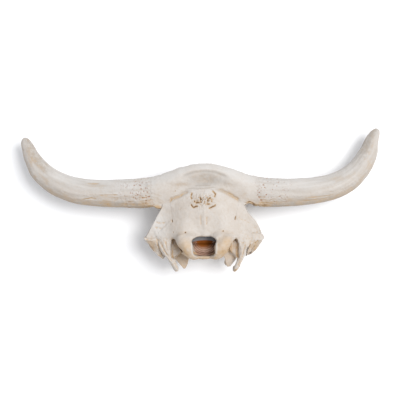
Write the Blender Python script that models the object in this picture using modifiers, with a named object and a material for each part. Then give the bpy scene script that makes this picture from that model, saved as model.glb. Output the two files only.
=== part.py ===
"""Back half of a longhorn steer's skull with its two horn cores, lying where the front was sawn off.

X runs across the skull, Y from the palate side up to the poll, and Z back through the skull, away
from the nose, so it rests on the sawn face at Z = 0 and the back of the head looks straight up.
Heights are measured from a level just below the foramen magnum's upper rim until the last step, which
moves the origin to the middle of the underside. The skull is modelled whole, from overlapping masses,
and is then parted into its bones by hairline cuts.
"""

import math

import bmesh
import bpy
import numpy as np
from mathutils import Matrix, Vector

# ---------------------------------------------------------------- driving dimensions, in metres
POLL_TOP = 0.139
POLL_RADIUS = 0.022
BACK_PLANE = 0.104  # from the sawn face back to the flat of the occiput
FORAMEN_WIDTH = 0.042
FORAMEN_TOP = 0.006
FORAMEN_FLOOR = -0.029
SHIELD_DROP = 3.5  # the back of the head falls away to each side by this times the distance squared
BRAINCASE_AT = Vector((0, 0.032, 0.040))
BRAINCASE_HALF = Vector((0.058, 0.070, 0.066))
SKULL_BASE_AT = Vector((0, -0.021, 0.045))  # the bar of bone under the braincase
SKULL_BASE_SIZE = Vector((0.044, 0.027, 0.118))
HAIRLINE = 0.00034  # width of the cut between two bones
VOXEL = 0.0026  # grain of the clay that the masses are fused into
TRIANGLES = 5600  # of the whole skull before it is parted
MOST_CRUMB = 0.004  # a loose crumb of bone smaller than this is dropped
SAW_REACH = 0.10
SHARP_DEGREES = 50
SIDES = ((-1, "left"), (1, "right"))
LEAN = 0.003  # the spurs and bullae of this skull sit this far to the right of its midline

# Stations along each horn core: across, up, back from the sawn face, and radius.
HORN_LEFT = (
    (-0.3325, 0.1865, 0.040, 0.0048),
    (-0.3310, 0.1800, 0.041, 0.0088),
    (-0.3280, 0.1690, 0.042, 0.0128),
    (-0.3195, 0.1480, 0.045, 0.0167),
    (-0.2925, 0.1163, 0.050, 0.0208),
    (-0.2450, 0.0920, 0.057, 0.0237),
    (-0.2000, 0.0850, 0.062, 0.0247),
    (-0.1543, 0.0840, 0.067, 0.0261),
    (-0.1000, 0.0857, 0.072, 0.0273),
)
HORN_RIGHT = (
    (0.0980, 0.0872, 0.072, 0.0273),
    (0.1289, 0.0857, 0.069, 0.0264),
    (0.1751, 0.0871, 0.064, 0.0253),
    (0.2177, 0.0922, 0.059, 0.0243),
    (0.2497, 0.1024, 0.055, 0.0236),
    (0.2783, 0.1219, 0.050, 0.0212),
    (0.3021, 0.1572, 0.045, 0.0178),
    (0.3115, 0.1870, 0.042, 0.0118),
    (0.3165, 0.1970, 0.041, 0.0082),
    (0.3192, 0.2020, 0.040, 0.0048),
)
# Right half of the bony arch of the poll, which carries the horns: across, up, back, radius.
POLL_ARCH = (
    (0.0000, POLL_TOP - POLL_RADIUS, 0.083, POLL_RADIUS),
    (0.0310, 0.1115, 0.083, 0.0225),
    (0.0560, 0.1020, 0.080, 0.0240),
    (0.0770, 0.0915, 0.075, 0.0272),
)
# Right half of the outline of the back of the head, from the nuchal line down to the foramen's lower lip.
SHIELD_OUTLINE = (
    (0.000, 0.098),
    (0.030, 0.093),
    (0.056, 0.079),
    (0.069, 0.062),
    (0.077, 0.044),
    (0.092, 0.030),
    (0.101, 0.017),
    (0.1085, 0.002),
    (0.099, -0.006),
    (0.086, -0.009),
    (0.072, -0.013),
    (0.056, -0.010),
    (0.040, -0.022),
    (0.021, -0.033),
    (0.000, -0.034),
)
SHIELD_THICK = 0.026
SHIELD_SWELL_AT = Vector((0, 0.050, 0.091))
SHIELD_SWELL_HALF = Vector((0.055, 0.043, 0.018))

# Masses of the right condyle: where, half its size, and its turn in the plane of the back of the head.
CONDYLE_MASSES = (
    ((0.031, -0.011, 0.100), (0.0150, 0.029, 0.024), -36),
    ((0.025, -0.002, 0.097), (0.018, 0.022, 0.020), 0),
    ((0.036, 0.018, 0.090), (0.026, 0.030, 0.018), -30),
)
# The right spur, from its root down to its point: across, up, back, radius, and its share of the lean.
SPUR = (
    (0.0730, 0.0180, 0.074, 0.0160, 0.0),
    (0.0730, 0.0000, 0.077, 0.0125, 0.3),
    (0.0690, -0.0190, 0.081, 0.0086, 0.7),
    (0.0620, -0.0370, 0.083, 0.0062, 1.0),
    (0.0540, -0.0520, 0.084, 0.0050, 1.0),
    (0.0510, -0.0565, 0.084, 0.0030, 1.0),
)
# The side of the right temporal bone: the stump of the cheek arch, the wall round the ear, its lower rim.
CHEEK_STUMP_AT = (0.085, 0.004, 0.056)
CHEEK_STUMP_HALF = Vector((0.0245, 0.0150, 0.0175))
CHEEK_STUMP_TURN = -14
EAR_WALL_AT = (0.068, 0.002, 0.046)
EAR_WALL_SIZE = Vector((0.052, 0.044, 0.040))
EAR_RIM = (
    (0.1015, 0.000, 0.055, 0.0070),
    (0.0940, -0.013, 0.055, 0.0068),
    (0.0850, -0.023, 0.055, 0.0056),
    (0.0775, -0.028, 0.055, 0.0046),
)
BULLA_AT = (0.0425, -0.034, 0.050)
BULLA_SIZE = Vector((0.027, 0.037, 0.036))
BULLA_TURN = (0, -10, -22)
BULLA_TAPER = 0.42

# Hollows: where, and half their size.
BRAIN_ROOM = (Vector((0, 0.022, 0.048)), Vector((0.044, 0.042, 0.043)))
FRONT_OPENING = (Vector((0, 0.025, 0.000)), Vector((0.0325, 0.029, 0.034)))
FORAMEN_PASSAGE = 0.100
FORAMEN_PASSAGE_BACK = 0.115
BESIDE_CONDYLE = ((0.0525, -0.017, 0.090), (0.0066, 0.021, 0.034))
BESIDE_CONDYLE_TURN = -14
TEMPLE = ((0.088, 0.045, 0.022), (0.032, 0.045, 0.042))

# Relief of the back of the head: where, how far it reaches, how deep it is (out if negative), its turn.
RELIEF_BEHIND = 0.06
MIDLINE_RELIEF = (
    ((0, 0.111), (0.050, 0.015), 0.0050, 0),  # the poll's dish
    ((0, 0.064), (0.024, 0.016), -0.0040, 0),  # the knob that held the neck's ligament
    ((0, 0.030), (0.005, 0.034), -0.0030, 0),  # the ridge that runs down from the knob
)
SIDE_RELIEF = (
    ((0.040, 0.0835), (0.026, 0.0065), 0.0065, -27),  # the groove under the nuchal line
    ((0.014, 0.028), (0.012, 0.030), 0.0035, 0),  # the hollow beside the ridge
    ((0.060, 0.030), (0.020, 0.030), 0.0030, 0),  # the hollow above the spur
    ((0.036, 0.048), (0.024, 0.026), -0.0025, 0),  # the swelling between those two
)

# The plate of the forehead, and the air cells that the saw opened in it.
FRONTAL_SIZE = Vector((0.176, 0.033, 0.100))
FRONTAL_AT = Vector((0.000, 0.112, 0.030))
FRONTAL_BEND = 2.6  # the forehead falls away to each side by this times the distance squared
SINUS_CELLS = 6
SINUS_STEP = 0.026
SINUS_CELL = Vector((0.0105, 0.0080, 0.0240))

# Where the bones part.
HORN_ROOT = 0.097  # from the midline out to where a horn core's own bone begins
HORN_ROOT_AXIS = Vector((0.0, 0.086, 0.072))
# Right half of the seam under the poll, from the midline out into the open below the horn.
NUCHAL_LINE = (
    (0.000, 0.0935),
    (0.030, 0.0885),
    (0.056, 0.0770),
    (0.069, 0.0660),
    (0.078, 0.0570),
    (0.120, 0.0400),
)
# The temporal bone's inner border: height, then how far out it runs behind SEAM_STEP and in front of it.
TEMPORAL_SEAM = (
    (0.090, 0.066, 0.070),
    (0.040, 0.057, 0.054),
    (0.022, 0.074, 0.050),
    (0.006, 0.090, 0.049),
    (-0.012, 0.090, 0.047),
    (-0.060, 0.090, 0.060),
)
SEAM_STEP = 0.062
# The bend of a condyle's seam: out from the midline, and up from the slope that the knob sits on.
CONDYLE_SEAM = ((0.0165, 0.040), (0.0165, 0.0), (0.0530, 0.0))
CONDYLE_SEAM_ENDS = (0.014, -0.0530)
CONDYLE_SLOPE_AT = Vector((0.0, 0.012, BACK_PLANE))
CONDYLE_SLOPE_DEGREES = 17.7
# The line where the bulla hangs from the braincase.
BULLA_SEAM = ((0.0235, -0.0340), (0.0320, -0.0290), (0.0440, -0.0240), (0.0680, -0.0225))
BULLA_SEAM_DEPTHS = (0.022, 0.0695)
NUCHAL_SEAM_DEPTHS = (-0.020, 0.140)
TEMPORAL_SEAM_DEPTHS = (0.130, SEAM_STEP, SEAM_STEP, -0.020)
# Flat seams: where, and how large the cutting sheet is.
HORN_SEAM_SIZE = (0.080, 0.080)
SPUR_SEAM_AT = (0.070, -0.0175, 0.082)
SPUR_SEAM_SIZE = (0.040, 0.034)
OCCIPITAL_SEAM_AT = Vector((0, 0.02, SEAM_STEP))
OCCIPITAL_SEAM_SIZE = (0.20, 0.20)
SPHENOID_SEAM_AT = Vector((0, 0, 0.02))
SPHENOID_SEAM_SIZE = (0.20, 0.12)
SAGITTAL_SEAM_AT = Vector((0, 0.06, 0.02))
SAGITTAL_SEAM_SIZE = (0.12, 0.14)

BONE_COLOUR = (0.70, 0.65, 0.58, 1.0)
HORN_COLOUR = (0.66, 0.61, 0.53, 1.0)
BONE_ROUGHNESS = 0.7


# ---------------------------------------------------------------- tools for the clay
def turned(at, size, degrees=(0, 0, 0)):
    """A matrix that scales a unit shape to size, turns it about X, Y and Z, and puts it at a place."""
    spin = Matrix.Identity(4)
    for axis, angle in zip("XYZ", degrees):
        spin = Matrix.Rotation(math.radians(angle), 4, axis) @ spin
    return Matrix.Translation(at) @ spin @ Matrix.Diagonal((*size, 1))


def ball(clay, at, radii, degrees=(0, 0, 0)):
    bmesh.ops.create_icosphere(clay, subdivisions=4, radius=1, matrix=turned(at, radii, degrees))


def block(clay, at, size, degrees=(0, 0, 0), taper=1.0, soften=0.2):
    """A block with rounded edges, its -Y face scaled by taper."""
    made = bmesh.new()
    bmesh.ops.create_cube(made, size=1)
    for vertex in made.verts:
        if vertex.co.y < 0:
            vertex.co.x *= taper
            vertex.co.z *= taper
    bmesh.ops.bevel(
        made, geom=made.edges[:], offset=soften, segments=3, profile=0.5, affect="EDGES", material=-1
    )
    made.transform(turned(at, size, degrees))
    add_to(clay, made)


def add_to(clay, made):
    mesh = bpy.data.meshes.new("mass")
    made.to_mesh(mesh)
    made.free()
    clay.from_mesh(mesh)
    bpy.data.meshes.remove(mesh)


def rod(clay, stations):
    """A round bar of changing radius through stations of (x, y, z, radius), from a bevelled curve."""
    curve = bpy.data.curves.new("rod", "CURVE")
    curve.dimensions = "3D"
    curve.bevel_depth = 1.0
    curve.bevel_resolution = 6
    curve.use_fill_caps = True
    curve.resolution_u = 8
    spline = curve.splines.new("BEZIER")
    spline.bezier_points.add(len(stations) - 1)
    spline.radius_interpolation = "CARDINAL"
    for point, (x, y, z, radius) in zip(spline.bezier_points, stations):
        point.co = (x, y, z)
        point.radius = radius
        point.handle_left_type = point.handle_right_type = "AUTO"
    guide = bpy.data.objects.new("rod", curve)
    bpy.context.scene.collection.objects.link(guide)
    mesh = evaluated_mesh(guide)
    made = bmesh.new()
    made.from_mesh(mesh)
    bmesh.ops.remove_doubles(made, verts=made.verts[:], dist=1e-6)
    add_to(clay, made)
    bpy.data.objects.remove(guide)
    bpy.data.meshes.remove(mesh)


def evaluated_mesh(obj):
    bpy.context.view_layer.update()
    graph = bpy.context.evaluated_depsgraph_get()
    return bpy.data.meshes.new_from_object(obj.evaluated_get(graph))


def settle(obj):
    """Applies an object's modifiers."""
    mesh = evaluated_mesh(obj)
    obj.modifiers.clear()
    obj.data = mesh


def shown(name, clay, collection):
    """An object made from a bmesh, which is freed."""
    bmesh.ops.recalc_face_normals(clay, faces=clay.faces[:])
    mesh = bpy.data.meshes.new(name)
    clay.to_mesh(mesh)
    clay.free()
    obj = bpy.data.objects.new(name, mesh)
    collection.objects.link(obj)
    return obj


def cutter(name, clay):
    obj = shown(name, clay, cutters)
    obj.hide_render = True
    obj.display_type = "WIRE"
    return obj


def carve(obj, tool, operation="DIFFERENCE", solver="EXACT"):
    boolean = obj.modifiers.new(operation.lower(), "BOOLEAN")
    boolean.operation = operation
    boolean.solver = solver
    boolean.object = tool
    settle(obj)


def fuse(obj, smoothing):
    """Melts overlapping masses into one skin."""
    remesh = obj.modifiers.new("fuse", "REMESH")
    remesh.mode = "VOXEL"
    remesh.voxel_size = VOXEL
    smooth = obj.modifiers.new("smooth", "SMOOTH")
    smooth.iterations = smoothing
    settle(obj)


# ---------------------------------------------------------------- the masses
def mirrored(stations):
    """Stations of both sides, from left to right. Those given are the right ones, from the midline out."""
    left = [(-x, *rest) for x, *rest in reversed(stations[1:])]
    return [*left, *stations]


def on_side(side, place, lean=0.0):
    """A place given for the right side, on the side asked for."""
    return Vector((side * place[0] + lean, *place[1:]))


def horns_and_poll(clay):
    """The two horn cores and the arch between them, one bar from tip to tip."""
    rod(clay, [*HORN_LEFT, *mirrored(POLL_ARCH), *HORN_RIGHT])


def forehead(clay):
    """The frontal bone in front of the poll, a thick bent plate that the saw crosses."""
    plate = bmesh.new()
    block(plate, Vector(), FRONTAL_SIZE, soften=0.16)
    bmesh.ops.subdivide_edges(plate, edges=plate.edges[:], cuts=6, use_grid_fill=True)
    for vertex in plate.verts:
        vertex.co.y -= FRONTAL_BEND * vertex.co.x**2
    plate.transform(Matrix.Translation(FRONTAL_AT))
    add_to(clay, plate)


def braincase(clay):
    ball(clay, BRAINCASE_AT, BRAINCASE_HALF)
    block(clay, SKULL_BASE_AT, SKULL_BASE_SIZE, soften=0.25)


def back_of_head(clay):
    """The occipital shield: a flat outline, given its thickness and then bent away to each side."""
    curve = bpy.data.curves.new("shield", "CURVE")
    curve.dimensions = "2D"
    curve.fill_mode = "BOTH"
    curve.extrude = SHIELD_THICK / 2
    spline = curve.splines.new("POLY")
    outline = mirrored(SHIELD_OUTLINE)[len(SHIELD_OUTLINE) - 1 :]
    outline += [(-x, y) for x, y in reversed(SHIELD_OUTLINE[1:-1])]
    spline.points.add(len(outline) - 1)
    for point, (x, y) in zip(spline.points, outline):
        point.co = (x, y, 0, 1)
    spline.use_cyclic_u = True
    guide = bpy.data.objects.new("shield", curve)
    bpy.context.scene.collection.objects.link(guide)
    made = bmesh.new()
    made.from_mesh(evaluated_mesh(guide))
    bpy.data.objects.remove(guide)
    bmesh.ops.remove_doubles(made, verts=made.verts[:], dist=1e-6)
    bmesh.ops.triangulate(made, faces=made.faces[:])
    bmesh.ops.subdivide_edges(made, edges=made.edges[:], cuts=7, use_grid_fill=True)
    for vertex in made.verts:
        vertex.co.z += BACK_PLANE - SHIELD_THICK / 2 - SHIELD_DROP * vertex.co.x**2
    add_to(clay, made)
    ball(clay, SHIELD_SWELL_AT, SHIELD_SWELL_HALF)


def condyle(clay, side):
    """The kidney-shaped knob beside the foramen that the neck turned on, rising out of the shield."""
    for place, half, turn in CONDYLE_MASSES:
        ball(clay, on_side(side, place), half, (0, 0, side * turn))


def paracondylar_process(clay, side):
    """The spur beside the condyle, which hangs down to a blunt point."""
    rod(clay, [(side * x + LEAN * share, y, z, radius) for x, y, z, radius, share in SPUR])


def ear_region(clay, side):
    """The side of the temporal bone: the stump of the cheek arch, the wall round the ear and its rim."""
    ball(clay, on_side(side, CHEEK_STUMP_AT), CHEEK_STUMP_HALF, (0, 0, side * CHEEK_STUMP_TURN))
    block(clay, on_side(side, EAR_WALL_AT), EAR_WALL_SIZE, soften=0.3)
    rod(clay, [(side * x, *rest) for x, *rest in EAR_RIM])


def bulla(clay, side):
    """The blister of bone under the ear, here a blunt wedge that points down."""
    turn = [side * angle for angle in BULLA_TURN]
    block(clay, on_side(side, BULLA_AT, LEAN), BULLA_SIZE, turn, taper=BULLA_TAPER)


# ---------------------------------------------------------------- hollows
def brain_room():
    """The brain's room, open to the back by the foramen magnum and to the front at the sawn face."""
    room = bmesh.new()
    ball(room, *BRAIN_ROOM)
    return cutter("brain_room", room)


def foramen_magnum():
    """The hole through the back of the head into the brain's room, with rounded corners."""
    height = FORAMEN_TOP - FORAMEN_FLOOR
    middle = Vector((0, FORAMEN_TOP - height / 2, FORAMEN_PASSAGE_BACK))
    passage = bmesh.new()
    block(passage, middle, Vector((FORAMEN_WIDTH, height, FORAMEN_PASSAGE)), soften=0.22)
    return cutter("foramen_magnum", passage)


def front_opening():
    opening = bmesh.new()
    ball(opening, *FRONT_OPENING)
    return cutter("front_opening", opening)


def hollow_beside_condyle(side):
    place, half = BESIDE_CONDYLE
    hollow = bmesh.new()
    ball(hollow, on_side(side, place), half, (0, 0, side * BESIDE_CONDYLE_TURN))
    return cutter("condylar_hollow", hollow)


def temple(side):
    """The hollow of the temple, in front of the crest at the side of the head."""
    place, half = TEMPLE
    hollow = bmesh.new()
    ball(hollow, on_side(side, place), half)
    return cutter("temple", hollow)


def sinus(number):
    """One of the air cells that the saw opened in the thick forehead."""
    across = (number - (SINUS_CELLS - 1) / 2) * SINUS_STEP
    middle = Vector((across, FRONTAL_AT.y - FRONTAL_BEND * across**2, 0))
    cell = bmesh.new()
    bmesh.ops.create_icosphere(cell, subdivisions=2, radius=1, matrix=turned(middle, SINUS_CELL))
    return cutter("sinus", cell)


# ---------------------------------------------------------------- relief, pushed into the clay
def near(points, at, radii, degrees):
    """1 at a place and 0 beyond its radii, in the plane of the back of the head."""
    turn = math.radians(degrees)
    dx, dy = points[:, 0] - at[0], points[:, 1] - at[1]
    along = dx * math.cos(turn) + dy * math.sin(turn)
    up = dy * math.cos(turn) - dx * math.sin(turn)
    reach = np.clip(1 - (along / radii[0]) ** 2 - (up / radii[1]) ** 2, 0, 1)
    return reach**1.5


def press(points, facing_back, at, radii, depth, degrees):
    """Pushes the back of the head in by depth round a place, or out where depth is negative."""
    points[:, 2] -= depth * near(points, at, radii, degrees) * facing_back


def relief(skull):
    """Presses the dents and swellings of the back of the head into the fused clay."""
    mesh = skull.data
    points = np.empty(len(mesh.vertices) * 3)
    mesh.vertices.foreach_get("co", points)
    points = points.reshape(-1, 3)
    normals = np.empty(len(mesh.vertices) * 3)
    mesh.vertex_normals.foreach_get("vector", normals)
    back = np.clip(normals.reshape(-1, 3)[:, 2] * 1.6, 0, 1) * (points[:, 2] > RELIEF_BEHIND)
    for place, reach, depth, turn in MIDLINE_RELIEF:
        press(points, back, place, reach, depth, turn)
    for place, reach, depth, turn in SIDE_RELIEF:
        for side, _ in SIDES:
            press(points, back, on_side(side, place), reach, depth, side * turn)
    mesh.vertices.foreach_set("co", points.ravel())
    mesh.update()


# ---------------------------------------------------------------- parting the bones
def thin_out(obj):
    """Leaves about TRIANGLES triangles, more of them where the surface turns."""
    thin = obj.modifiers.new("thin", "DECIMATE")
    obj.data.calc_loop_triangles()
    thin.ratio = TRIANGLES / len(obj.data.loop_triangles)
    settle(obj)


def saw(obj):
    """Takes off what lies in front of the sawn face."""
    front = bmesh.new()
    slab = turned(Vector((0, 0, -SAW_REACH / 2)), Vector((1, 1, SAW_REACH)))
    bmesh.ops.create_cube(front, size=1, matrix=slab)
    carve(obj, cutter("saw", front))


def blade(name, rows, columns, place):
    """A cutting sheet a hairline thick: a grid whose points lie where place(row, column) says."""
    made = bmesh.new()
    bmesh.ops.create_grid(made, x_segments=columns - 1, y_segments=rows - 1, size=0.5)
    for vertex in made.verts:
        column = round((vertex.co.x + 0.5) * (columns - 1))
        row = round((vertex.co.y + 0.5) * (rows - 1))
        vertex.co = place(row, column)
    obj = cutter(name, made)
    solid = obj.modifiers.new("thickness", "SOLIDIFY")
    solid.thickness = HAIRLINE
    solid.offset = 0
    settle(obj)
    return obj


def flat_blade(name, at, size, degrees=(0, 0, 0)):
    """A flat cutting sheet of X and Y size, turned and put at a place."""
    spin = turned(at, (size[0], size[1], 1), degrees)
    return blade(name, 2, 2, lambda row, column: spin @ Vector((column - 0.5, row - 0.5, 0)))


def upright_blade(name, path, depths):
    """A bent cutting sheet: a line in X and Y, drawn out along Z between two depths."""
    return blade(name, 2, len(path), lambda row, column: Vector((*path[column], depths[row])))


def horn_seam(side):
    root = HORN_ROOT_AXIS + Vector((side * HORN_ROOT, 0, 0))
    return flat_blade("horn_seam", root, HORN_SEAM_SIZE, (0, 90, 0))


def nuchal_seam():
    """The seam under the poll, between the frontal bone and the back of the head."""
    return upright_blade("nuchal_seam", mirrored(NUCHAL_LINE), NUCHAL_SEAM_DEPTHS)


def bulla_seam(side):
    path = [on_side(side, place, LEAN) for place in BULLA_SEAM]
    return upright_blade("bulla_seam", path, BULLA_SEAM_DEPTHS)


def spur_seam(side):
    return flat_blade("spur_seam", on_side(side, SPUR_SEAM_AT, LEAN), SPUR_SEAM_SIZE, (90, 0, 0))


def condyle_seam(side):
    """An L-shaped seam under a condyle and along its inner side, on the slope of the joint."""
    slope = turned(CONDYLE_SLOPE_AT, (1, 1, 1), (CONDYLE_SLOPE_DEGREES, 0, 0))

    def place(row, column):
        across, back = CONDYLE_SEAM[column]
        return slope @ Vector((side * across, CONDYLE_SEAM_ENDS[row], back))

    return blade("condyle_seam", 2, len(CONDYLE_SEAM), place)


def temporal_seam(side):
    """A stepped seam: beside the paracondylar process, and in front close to the brain's room."""

    def place(row, column):
        up, behind, before = TEMPORAL_SEAM[row]
        across = behind if column < 2 else before
        return Vector((side * across, up, TEMPORAL_SEAM_DEPTHS[column]))

    return blade("temporal_seam", len(TEMPORAL_SEAM), len(TEMPORAL_SEAM_DEPTHS), place)


def centre_of(obj):
    return sum((vertex.co for vertex in obj.data.vertices), Vector()) / len(obj.data.vertices)


def part_off(body, seam, name, near_to):
    """Cuts a body through and gives the name to the piece nearest a point. Returns the rest.

    The exact solver leaves the hairline cuts open where they cross, so this one is used for them.
    """
    carve(body, seam, solver="MANIFOLD")
    bpy.ops.object.select_all(action="DESELECT")
    body.select_set(True)
    bpy.context.view_layer.objects.active = body
    bpy.ops.object.mode_set(mode="EDIT")
    bpy.ops.mesh.select_all(action="SELECT")
    bpy.ops.mesh.separate(type="LOOSE")
    bpy.ops.object.mode_set(mode="OBJECT")
    bpy.context.view_layer.update()
    loose = list(bpy.context.selected_objects)
    pieces = [obj for obj in loose if max(obj.dimensions) > MOST_CRUMB]
    part = min(pieces, key=lambda obj: (centre_of(obj) - Vector(near_to)).length)
    pieces.remove(part)
    rest = max(pieces, key=lambda obj: len(obj.data.polygons))
    for crumb in loose:
        if crumb not in (part, rest):
            bpy.data.objects.remove(crumb)
    rest.name = "rest"
    part.name = name
    return rest


def part_bones(rest):
    """Parts the whole skull into its bones, the small ones before the large ones that they sit on."""
    for side, label in SIDES:
        rest = part_off(rest, horn_seam(side), f"horn_core_{label}", (side * 0.20, 0.100, 0.060))
    rest = part_off(rest, nuchal_seam(), "frontal_bone", (0, 0.115, 0.060))
    small_bones = (
        ("tympanic_bulla", bulla_seam, (0.042, -0.036, 0.050)),
        ("paracondylar_process", spur_seam, (0.058, -0.042, 0.083)),
        ("occipital_condyle", condyle_seam, (0.031, -0.010, 0.112)),
        ("temporal_bone", temporal_seam, (0.083, 0.000, 0.060)),
    )
    for side, label in SIDES:
        for name, seam, (across, up, back) in small_bones:
            rest = part_off(rest, seam(side), f"{name}_{label}", (side * across, up, back))
    across_back = flat_blade("occipital_seam", OCCIPITAL_SEAM_AT, OCCIPITAL_SEAM_SIZE)
    rest = part_off(rest, across_back, "occipital_bone", (0, 0.030, 0.095))
    under_brain = flat_blade("sphenoid_seam", SPHENOID_SEAM_AT, SPHENOID_SEAM_SIZE, (90, 0, 0))
    rest = part_off(rest, under_brain, "sphenoid_bone", (0, -0.020, 0.030))
    midline = flat_blade("sagittal_seam", SAGITTAL_SEAM_AT, SAGITTAL_SEAM_SIZE, (0, 90, 0))
    rest = part_off(rest, midline, "parietal_bone_left", (-0.05, 0.040, 0.030))
    rest.name = "parietal_bone_right"


def centre_on_base(objects):
    """Moves the bones so that the origin lies in the middle of the underside of their common box."""
    points = [vertex.co for obj in objects for vertex in obj.data.vertices]
    middle = [(min(p[axis] for p in points) + max(p[axis] for p in points)) / 2 for axis in (0, 1)]
    for obj in objects:
        obj.data.transform(Matrix.Translation((-middle[0], -middle[1], 0)))


def finish(obj, colour, roughness):
    material = bpy.data.materials.new(obj.name)
    material.use_nodes = True
    shader = material.node_tree.nodes["Principled BSDF"]
    shader.inputs["Base Color"].default_value = colour
    shader.inputs["Roughness"].default_value = roughness
    shader.inputs["Metallic"].default_value = 0.0
    obj.data.materials.clear()
    obj.data.materials.append(material)
    obj.data.shade_smooth()
    obj.data.set_sharp_from_angle(angle=math.radians(SHARP_DEGREES))


# ---------------------------------------------------------------- the build
for old in list(bpy.data.objects):
    bpy.data.objects.remove(old)
bones = bpy.data.collections.new("longhorn_steer_skull")
cutters = bpy.data.collections.new("cutters")
cutters.hide_render = True
for collection in (bones, cutters):
    bpy.context.scene.collection.children.link(collection)

clay = bmesh.new()
horns_and_poll(clay)
forehead(clay)
braincase(clay)
back_of_head(clay)
for side, _ in SIDES:
    condyle(clay, side)
    paracondylar_process(clay, side)
    ear_region(clay, side)
    bulla(clay, side)
skull = shown("skull", clay, bones)
fuse(skull, 2)
relief(skull)
for hollow in (brain_room(), foramen_magnum(), front_opening()):
    carve(skull, hollow)
for side, _ in SIDES:
    carve(skull, hollow_beside_condyle(side))
    carve(skull, temple(side))
fuse(skull, 3)
thin_out(skull)
saw(skull)
for number in range(SINUS_CELLS):
    carve(skull, sinus(number))
part_bones(skull)
centre_on_base(bones.objects)
for bone in bones.objects:
    finish(bone, HORN_COLOUR if bone.name.startswith("horn") else BONE_COLOUR, BONE_ROUGHNESS)
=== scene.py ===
"""The longhorn steer's skull dressed: its bones carved, stained and parted, lying on a pale floor.

The frame's bones are cast into one skin, which is carved and stained bone by bone and then parted
again along its sutures. X runs across the skull, Y up to the poll, and Z back through the skull, up
to the camera. Carving works in millimetres, on arrays with one row for each point of the skin. The
meshes and all the rest are in metres.
"""

import math

import bmesh
import bpy
import numpy as np
from mathutils import Matrix, Vector, noise


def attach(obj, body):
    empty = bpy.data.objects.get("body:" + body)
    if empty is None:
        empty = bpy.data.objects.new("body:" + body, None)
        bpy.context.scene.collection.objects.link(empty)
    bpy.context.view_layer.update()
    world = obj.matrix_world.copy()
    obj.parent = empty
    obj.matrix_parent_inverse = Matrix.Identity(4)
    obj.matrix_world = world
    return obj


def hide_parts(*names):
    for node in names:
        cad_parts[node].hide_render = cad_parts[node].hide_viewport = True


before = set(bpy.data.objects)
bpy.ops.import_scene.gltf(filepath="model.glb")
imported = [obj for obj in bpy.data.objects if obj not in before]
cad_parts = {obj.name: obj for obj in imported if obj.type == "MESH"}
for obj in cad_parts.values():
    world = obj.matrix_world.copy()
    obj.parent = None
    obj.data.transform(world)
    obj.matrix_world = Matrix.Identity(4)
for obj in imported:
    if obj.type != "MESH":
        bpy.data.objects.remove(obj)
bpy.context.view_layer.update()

# --------------------------------------------------
# The skull in the rough. A grown steer's skull is one piece, its bones knitted together, so the frame's
# bones are pushed out until the hairlines between them close, and then fused into one fine skin. The
# sawn face is drawn out below the floor, to be cut off flat at the end.
MM = 0.001
GAP_CLOSED = 0.25 * MM
ON_SAW = 0.1 * MM
BELOW_SAW = 4.0 * MM
SKIN_GRAIN = 1.0 * MM
EVENING_ROUNDS = 30
EVENED, SWELLED = 1.0, -1.06  # how far each round draws the skin in, and then back out
SAME_PLACE = 0.001 * MM
ADDED_CLAY = (
    # places, radii, turn and tilt: the ledge under the left horn, then the broken edge under the right one
    ((-75.5, -9.5, 77), (9.5, 8.5, 9), -8, 0),
    ((95, -7, 66), (8, 5.5, 8), -15, 0),
    ((116, -7, 66), (9, 4.5, 7), 0, 0),
    # the thin flanges of the spurs, and their blunt tips
    ((-61.5, -88, 82), (11.5, 21, 5.5), 26, -4),
    ((76.0, -88, 82), (10.0, 21, 5.5), -22, 4),
    ((-43.5, -125.5, 76), (5.2, 7, 4), 30, 0),
    ((64.5, -126, 76), (4.6, 6.5, 4), -25, 0),
    # the slopes down into the hollows beside the condyles
    ((-52, -92, 64), (11, 17, 18), 8, 0),
    ((71, -92, 58), (11, 17, 18), -8, 0),
    ((-45, -91, 62), (11, 15, 16), 0, 0),
    ((62, -91, 60), (11, 15, 16), 0, 0),
    ((-42, -81, 58), (9, 14, 16), 0, 0),
    ((59, -81, 58), (9, 14, 16), 0, 0),
    ((-44, -75, 62), (8, 12, 16), 0, 0),
    ((60, -75, 60), (8, 12, 16), 0, 0),
    ((-37, -99, 57), (6, 6, 10), 0, 0),
    ((-34, -93, 62), (7, 9, 13), 0, 0),
    ((68, -91, 66), (9, 16, 14), -8, 0),
    # where the flakes meet the spurs
    ((-74, -88, 69), (5, 16, 9), 27, 0),
    ((91, -90, 66), (4.5, 13, 9), -10, 0),
    # the corners of the mastoid parts
    ((-88.5, -70, 73), (13, 5.5, 8), 8, 0),
    ((105, -67, 72), (14, 6.5, 8), -18, 0),
    # the floor of the passage into the braincase
    ((8.5, -72, 34), (34, 24, 32), 0, 0),
    ((8.5, -93, 52), (31, 14, 31), 0, 0),
)
PLATES = (
    # thin bone, as outlines from a low to a high depth: the temples' edges
    ([(-66, -6), (-70, -18), (-77.2, -30.8), (-85, -45.3), (-91.8, -59), (-98, -70.8), (-80, -70.8),
      (-66, -49), (-52, -27), (-50, -8)], 64, 87),
    ([(78.6, -5), (84, -17.2), (89, -26.4), (101.5, -39.3), (107.7, -49.7), (112.5, -62), (95, -61.7),
      (80, -45.3), (64, -27.2), (60, -8)], 64, 84),
    # the flakes behind the ears
    ([(-97, -71.1), (-80, -72), (-64, -105), (-67, -109.5), (-77, -103), (-84.4, -93.4),
      (-92.2, -81.7)], 57, 70),
    ([(91.9, -69), (112, -69), (114.5, -73.6), (97.2, -91.9), (88.5, -102), (84.5, -105),
      (87.5, -89.6)], 57, 70),
    # the wedges of the bullae
    ([(-47.3, -107), (-36.3, -95), (-18.5, -104), (-25.5, -126.5), (-29.5, -127.5)], 42, 68),
    ([(43, -101), (53.6, -93), (70, -104), (66, -110.5), (56, -123.4), (50, -123.4)], 42, 68),
)
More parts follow.
